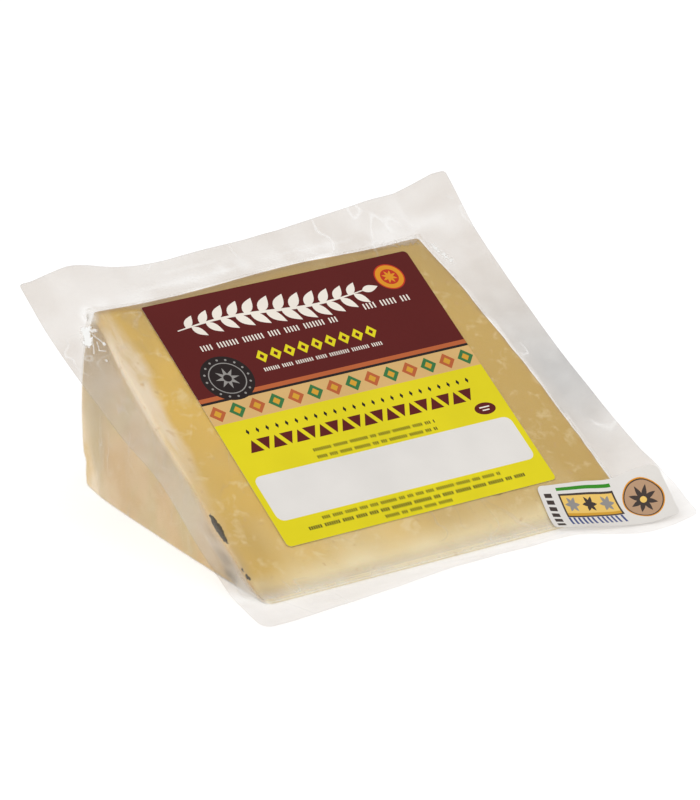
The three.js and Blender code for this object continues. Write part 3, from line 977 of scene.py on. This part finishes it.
def stroke_shape(path, width):
    """A ribbon of that width along a path, tapered to its ends."""
    left, right = [], []
    for i, (x, y) in enumerate(path):
        x0, y0 = path[max(i - 1, 0)]
        x1, y1 = path[min(i + 1, len(path) - 1)]
        length = math.hypot(x1 - x0, y1 - y0)
        half = width / 2 * (0.35 + 0.65 * math.sin(math.pi * i / (len(path) - 1)))
        nx, ny = -(y1 - y0) / length * half, (x1 - x0) / length * half
        left.append((x + nx, y + ny))
        right.append((x - nx, y - ny))
    return right + left[::-1]


TICK_HEIGHT = 0.8           # share of the row's height


def tick_row(x0, x1, y, height, seed, width=0.34, pitch=0.62, gap=0.75):
    """Small upright ticks of one height, in groups. y is their foot."""
    draw = random.Random(seed)
    out = []
    x = x0
    left_in_group = draw.randint(3, 9)
    while x + width <= x1:
        out.append(box_shape(x, y, x + width, y + TICK_HEIGHT * height))
        x += pitch
        left_in_group -= 1
        if left_in_group == 0:
            x += gap
            left_in_group = draw.randint(3, 9)
    return out


def inked(ink, shapes):
    return [(ink, shape) for shape in shapes]


def sprig_shapes(x0, x1, y, leaf_length, leaf_width, pairs):
    """A long leafy sprig that lies across the label."""
    def spine(t):
        return x0 + (x1 - x0) * t, y + 1.1 * math.sin(2 * math.pi * t)
    out = [stroke_shape([spine(k / 30) for k in range(31)], 0.9)]
    for k in range(pairs):
        t = (k + 0.6) / (pairs + 0.6)
        x, stem_y = spine(t)
        size = 0.72 + 0.28 * math.sin(math.pi * t)
        out.append(leaf_shape(x, stem_y, 48, leaf_length * size, leaf_width * size))
        out.append(leaf_shape(x + 1.6, stem_y, -48, leaf_length * size, leaf_width * size))
    out.append(leaf_shape(*spine(1), 4, leaf_length * 0.8, leaf_width * 0.8))
    return out


YELLOW_TOP = 41.2
BORDER_TOP = 48.2
WHITE_FIELD = (1.8, 8, 82.2, 23)
WHITE_FIELD_ROUND = 2.2
TRIANGLE_ROW = 32.5
DIAMOND_ROW = 59.6
DARK_MARK = (11.6, 55.2)
BRIGHT_MARK = (74.4, 76)


def label_art():
    """(ink, outline) pairs of the front label, in painting order."""
    art = [("yellow", box_shape(0, 0, LABEL_WIDTH, YELLOW_TOP))]
    art += [("white", box_shape(*WHITE_FIELD, WHITE_FIELD_ROUND))]
    art += band_art()
    # the dark field: a sprig, ticks, diamonds and two round marks
    art += inked("cream", sprig_shapes(6, 64, 73.4, 6.6, 3.0, 12))
    art += inked("cream", tick_row(9.3, 52.6, 65.2, 2.3, 3, width=0.42, pitch=0.95, gap=1.3))
    art += inked("cream", tick_row(61.5, 78, 67.0, 2.5, 4, width=0.45, pitch=1.05, gap=1.3))
    for k in range(9):
        cx = 24.6 + 4.3 * k
        art.append(("yellow", diamond_shape(cx, DIAMOND_ROW, 1.8, 2.2)))
        art.append(("maroon", diamond_shape(cx, DIAMOND_ROW, 0.7, 0.9)))
    art += inked("cream", tick_row(23, 60.4, 54.6, 1.5, 5, pitch=0.7))
    cx, cy = DARK_MARK
    art += [("black", oval_shape(cx, cy, 7.5, steps=40)), ("grey", oval_shape(cx, cy, 5.3, steps=36)),
            ("black", oval_shape(cx, cy, 5.0, steps=36)), ("grey", star_shape(cx, cy, 3.6, 1.5, 8)),
            ("black", oval_shape(cx, cy, 1.2))]
    art += [("grey", oval_shape(x, y, 0.35, steps=8)) for x, y in oval_shape(cx, cy, 6.3, steps=16)]
    cx, cy = BRIGHT_MARK
    art += [("red", oval_shape(cx, cy, 4.5, steps=36)), ("orange", oval_shape(cx, cy, 4.1, steps=36)),
            ("red", oval_shape(cx, cy, 2.7))]
    art += [("orange", leaf_shape(cx, cy, 45 * k + 20, 2.3, 0.8)) for k in range(8)]
    # the yellow field: small diamonds, triangles, ticks and an oval mark
    art += [("black", diamond_shape(8 + 3.0 * k, 37.2, 0.5, 0.95)) for k in range(24)]
    for k in range(20):
        cx = 7.6 + 3.52 * k
        rise = 1 if k % 2 == 0 else -1
        foot, top = TRIANGLE_ROW - 2.0 * rise, TRIANGLE_ROW + 2.0 * rise
        corners = [(cx - 2.05, foot), (cx + 2.05, foot), (cx, top)]
        art.append(("maroon", corners[::rise]))
    art += inked("black", tick_row(22.6, 60.6, 26.4, 1.3, 6))
    art += inked("black", tick_row(22.6, 60.6, 24.0, 1.3, 7))
    art += [("maroon", oval_shape(77, 27.0, 3.25, 2.0)), ("cream", box_shape(75.4, 27.3, 78.6, 27.7)),
            ("cream", box_shape(75.9, 26.3, 78.1, 26.7))]
    art += inked("black", tick_row(13.8, 69.6, 5.6, 1.3, 8))
    art += inked("black", tick_row(8.5, 76, 3.3, 1.4, 9, width=0.42, pitch=0.68))
    art += inked("black", tick_row(30.8, 52.6, 1.2, 1.3, 10))
    return art


def band_art():
    """A plain woven border between the two fields of the label."""
    art = [("beige", box_shape(0, YELLOW_TOP, LABEL_WIDTH, BORDER_TOP)),
           ("black", box_shape(0, BORDER_TOP, LABEL_WIDTH, BORDER_TOP + 0.8)),
           ("terracotta", box_shape(0, BORDER_TOP + 0.8, LABEL_WIDTH, BORDER_TOP + 2.2))]
    count = 14
    step = LABEL_WIDTH / count
    for k in range(count):
        cx = step * (k + 0.5)
        art.append(("green" if k % 2 else "terracotta", diamond_shape(cx, 44.7, step * 0.42, 2.7)))
        art.append(("ochre", diamond_shape(cx, 44.7, step * 0.2, 1.3)))
    return art


STICKER_PANEL = (5.2, 5.1, 21.0, 11.7)
STICKER_DISC = (27.6, 7.2)
DISC_RINGS = [
    # ink and radius
    ("orange", 5.5),
    ("dark", 5.2),
    ("brown", 4.9),
]


def sticker_art():
    """(ink, outline) pairs of the corner sticker, in painting order."""
    art = [("dark", box_shape(1.2, 1.2 + 1.9 * k, 3.3, 2.4 + 1.9 * k)) for k in range(6)]
    x0, y0, x1, y1 = STICKER_PANEL
    border = 0.5
    art += [("leaf_green", box_shape(x0, y1 + 0.8, x1, y1 + 1.6))]
    art += [("dark", box_shape(x0, y0, x1, y1))]
    art += [("sand", box_shape(x0 + border, y0 + border, x1 - border, y1 - border))]
    art += [("ochre", box_shape(x0 + border, y0 + border, x1 - border, y0 + 1.4))]
    for k, ink in enumerate(("grey", "dark", "grey")):
        art += [(ink, leaf_shape(x0 + 3.0 + 4.9 * k, 8.9, 60 * petal, 2.1, 1.0)) for petal in range(6)]
    art += inked("blue", tick_row(x0, x1, 1.9, 3.9, 12, width=0.6, pitch=1.25, gap=0.3))
    cx, cy = STICKER_DISC
    art += [(ink, oval_shape(cx, cy, radius, 0.95 * radius, steps=40)) for ink, radius in DISC_RINGS]
    art += [("dark", leaf_shape(cx, cy, 45 * petal + 10, 3.8, 1.3)) for petal in range(8)]
    art += [("sand", oval_shape(cx, cy, 0.9, 0.85))]
    return art


def inside_outline(px, py, outline):
    """Which points lie inside a closed outline."""
    x, y = np.array(outline, float).T
    x2, y2 = np.roll(x, -1), np.roll(y, -1)
    crosses = (y[None] > py[:, None]) != (y2[None] > py[:, None])
    rise = np.where(y2 == y, 1e-12, y2 - y)
    at = (x2 - x)[None] * (py[:, None] - y[None]) / rise[None] + x[None]
    return (np.sum(crosses & (px[:, None] < at), axis=1) % 2) == 1


def in_steps(outline, step):
    """A closed outline with more points on its long sides, so that it can follow a bent surface."""
    out = []
    for (x0, y0), (x1, y1) in zip(outline, outline[1:] + outline[:1]):
        count = max(1, math.ceil(math.hypot(x1 - x0, y1 - y0) / step))
        out += [(x0 + (x1 - x0) * k / count, y0 + (y1 - y0) * k / count) for k in range(count)]
    return out


def print_mesh(outline, art, spacing):
    """Flat triangles over an outline, cut along every printed shape, with the ink of each triangle."""
    shapes = [in_steps(shape, spacing) for shape in [outline] + [shape for _, shape in art]]
    coords, edges = [], []
    for shape in shapes:
        first = len(coords)
        coords += [Vector(place) for place in shape]
        edges += [(first + k, first + (k + 1) % len(shape)) for k in range(len(shape))]
    x, y = np.array(outline).T
    columns = np.arange(x.min() + spacing / 2, x.max(), spacing)
    lines = np.arange(y.min() + spacing / 2, y.max(), spacing)
    grid = np.meshgrid(columns, lines)
    gx, gy = grid[0].ravel(), grid[1].ravel()
    keep = inside_outline(gx, gy, outline)
    coords += [Vector(place) for place in zip(gx[keep], gy[keep])]
    made = delaunay_2d_cdt(coords, edges, [], 0, 1e-5)
    places = np.array([tuple(place) for place in made[0]])
    triangles = np.array([face for face in made[2]])
    centre = places[triangles].mean(axis=1)
    inside = inside_outline(centre[:, 0], centre[:, 1], outline)
    triangles, centre = triangles[inside], centre[inside]
    ink = np.zeros(len(triangles), int)
    names = list(dict.fromkeys(name for name, _ in art))
    for name, shape in art:
        ink[inside_outline(centre[:, 0], centre[:, 1], shape)] = 1 + names.index(name)
    return places, triangles, ink, names


def build_paper(name, outline, art, ground, spacing, surface):
    """A closed thin paper whose face carries the print. surface(x, y) gives the points of its underside."""
    places, triangles, ink, names = print_mesh(outline, art, spacing)
    under, normals = surface(places[:, 0], places[:, 1])
    upper = under + normals * PAPER_THICKNESS
    edges = {(int(a), int(b)) for tri in triangles for a, b in zip(tri, np.roll(tri, -1))}
    border = [(a, b) for a, b in edges if (b, a) not in edges]
    count = len(places)
    faces = [tuple(tri) for tri in triangles]
    faces += [tuple(tri[::-1] + count) for tri in triangles]
    faces += [(b, a, a + count, b + count) for a, b in border]
    bare = 1 + len(names)
    slots = np.concatenate([ink, np.full(len(triangles) + len(border), bare)])
    materials = [paper_material(name + "_" + key, INKS[key]) for key in [ground] + names]
    materials.append(paper_material(name + "_bare", INKS["white"]))
    return make_piece(name, np.concatenate([upper, under]), faces, materials, slots=slots, smooth=False)


def label_surface(lx, ly):
    """Underside of the front label: flat on the slope, just off the sheet."""
    normal = np.array([0, -math.sin(WEDGE_ANGLE), SLOPE_COS])
    radius = LABEL_UP + ly
    base = np.stack([LABEL_LEFT + lx, radius * SLOPE_COS, radius * math.sin(WEDGE_ANGLE)], axis=1)
    normals = np.tile(normal, (len(lx), 1))
    return base + normals * PAPER_GAP, normals


def sticker_surface(sx, sy):
    """Underside of the sticker, which bridges the hollows of the sheet."""
    cos, sin = math.cos(STICKER_TURN), math.sin(STICKER_TURN)
    share = sy / STICKER_WIDTH
    bowed = curve_through(STICKER_BACK)(sx) * share - curve_through(STICKER_FRONT)(sx) * (1 - share)
    a, b = sx - STICKER_LENGTH / 2, sy + bowed - STICKER_WIDTH / 2
    x = STICKER_CENTRE[0] + a * cos - b * sin
    y = STICKER_CENTRE[1] + a * sin + b * cos
    around = [sheet_surface(x + dx, y + dy) for dx in (-7, -3.5, 0, 3.5, 7) for dy in (-3, 0, 3)]
    z = np.maximum(np.mean(around, axis=0), sheet_surface(x, y))
    normals = np.tile([0.0, 0.0, 1.0], (len(x), 1))
    return np.stack([x, y, z + 2 * PAPER_GAP + PAPER_THICKNESS], axis=1), normals


def label_outline():
    out = []
    for cx, cy, radius, start in [
        (LABEL_WIDTH, 0, LABEL_ROUND, -90), (LABEL_WIDTH, LABEL_LENGTH, LABEL_ROUND, 0),
        (0, LABEL_LENGTH, LABEL_BACK_LEFT_ROUND, 90), (0, 0, LABEL_ROUND, 180),
    ]:
        inner_x = cx - radius if cx else radius
        inner_y = cy - radius if cy else radius
        for k in range(7):
            angle = math.radians(start + 15 * k)
            out.append((inner_x + radius * math.cos(angle), inner_y + radius * math.sin(angle)))
    return out


# Light, floor and camera

CAMERA_AZIMUTH = math.radians(-33.37)
CAMERA_ELEVATION = math.radians(21.02)
CAMERA_DISTANCE = 1.111
CAMERA_LENS = 190.5
CAMERA_SENSOR = 36
CAMERA_AIM = (53.05, 45.0, 29.06)
FLOOR_HALF = 12.0
FLOOR_GREYS = ((0.72, 0.72, 0.72, 1), (0.76, 0.76, 0.76, 1))
FLOOR_GLOW = 0.42
WHITE = (1, 1, 1, 1)
SKY_STRENGTH = 0.7
LIGHTS = [
    # name, place in metres, size and power
    ("key", (-1.3, -0.2, 1.8), 1.2, 13),
    ("fill", (1.2, -1.5, 1.4), 1.6, 5),
]


def add_light(name, place, size, power):
    data = bpy.data.lights.new(name, "AREA")
    data.shape = "DISK"
    data.size = size
    data.energy = power
    light = place_object(name, data)
    light.location = place
    look_along(light, -Vector(place))


def floor_material():
    s = Shader("pale_floor")
    s.set(
        Base_Color=s.mix(s.noise(3, detail=2), *FLOOR_GREYS),
        Roughness=s.range(s.noise(40), 0.3, 0.7, 0.7, 0.8),
        Specular_IOR_Level=0.1,
        Emission_Color=WHITE,
        Emission_Strength=FLOOR_GLOW,
    )
    return s.material


def build_stage():
    mesh = bpy.data.meshes.new("floor")
    corners = box_shape(-FLOOR_HALF, -FLOOR_HALF, FLOOR_HALF, FLOOR_HALF)
    mesh.from_pydata([(x, y, 0) for x, y in corners], [], [(0, 1, 2, 3)])
    mesh.materials.append(floor_material())
    floor = place_object("floor", mesh)
    world = bpy.data.worlds.new("studio")
    world.use_nodes = True
    background = world.node_tree.nodes["Background"]
    background.inputs["Color"].default_value = WHITE
    background.inputs["Strength"].default_value = SKY_STRENGTH
    bpy.context.scene.world = world
    for light in LIGHTS:
        add_light(*light)
    bpy.context.scene.view_settings.view_transform = "Standard"


def build_camera():
    data = bpy.data.cameras.new("camera")
    data.sensor_width = CAMERA_SENSOR
    data.lens = CAMERA_LENS
    camera = place_object("camera", data)
    back = Vector((
        math.sin(CAMERA_AZIMUTH) * math.cos(CAMERA_ELEVATION),
        -math.cos(CAMERA_AZIMUTH) * math.cos(CAMERA_ELEVATION),
        math.sin(CAMERA_ELEVATION),
    ))
    camera.location = Vector(to_metres(CAMERA_AIM)) + back * CAMERA_DISTANCE
    look_along(camera, -back)
    bpy.context.scene.camera = camera


def main():
    cheese = build_cheese()
    pouch = build_pouch()
    sheet = build_sheet()
    label = build_paper("label", label_outline(), label_art(), "maroon", 6.0, label_surface)
    sticker_outline = box_shape(0, 0, STICKER_LENGTH, STICKER_WIDTH, STICKER_ROUND)
    sticker = build_paper("sticker", sticker_outline, sticker_art(), "white", 1.0, sticker_surface)
    for made in (cheese, pouch, sheet):
        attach(made, "root")
        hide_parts("pack")
    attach(label, "root")
    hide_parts("front_label")
    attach(sticker, "root")
    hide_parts("corner_sticker")
    build_stage()
    build_camera()


main()
